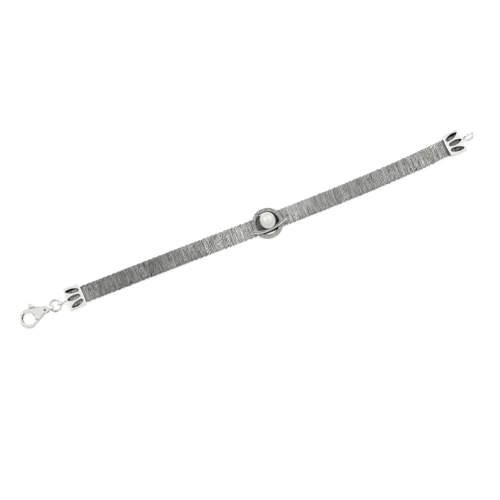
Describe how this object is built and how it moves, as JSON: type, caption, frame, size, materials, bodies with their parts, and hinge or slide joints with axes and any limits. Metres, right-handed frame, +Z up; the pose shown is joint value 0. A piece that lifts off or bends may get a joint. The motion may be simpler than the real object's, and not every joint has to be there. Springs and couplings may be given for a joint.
{
  "type": "pearl bracelet",
  "caption": "Flat wire-wound bracelet laid open, with a pearl in a round dark setting, pierced end caps, a lobster clasp with a sprung lever, and an end ring.",
  "frame": {"origin": "middle of the bracelet's footprint, on the surface it lies on", "axes": "+X along the bracelet from the clasp towards the end ring, +Y across it, +Z up"},
  "size_m": [0.19, 0.0128, 0.0093],
  "materials": {
    "wound_wire": "fine tarnished silver wire, wound side by side",
    "oxidised_silver": "matt oxidised silver, hammered on the ring and smooth on the plate",
    "pearl": "soft pearl lustre",
    "polished_silver": "polished silver, slightly warm"
  },
  "bodies": {
    "bracelet": {"band": "wound_wire", "setting": "oxidised_silver", "pearl": "pearl", "crossover_wires": "polished_silver", "end_cap_left": "polished_silver", "end_cap_right": "polished_silver", "jump_ring": "polished_silver", "clasp_body": "polished_silver", "clasp_pin": "polished_silver"},
    "lever": {"clasp_lever": "polished_silver"}
  },
  "joints": [
    {"name": "lever_pivot", "type": "hinge", "parent": "bracelet", "child": "lever", "pos_m": [-0.08446, 0.00012, 0.0016], "axis": [0, 0, -1], "range_deg": [0, 22], "stiffness_Nm_per_rad": 0.003, "springref_deg": -8.59}
  ]
}
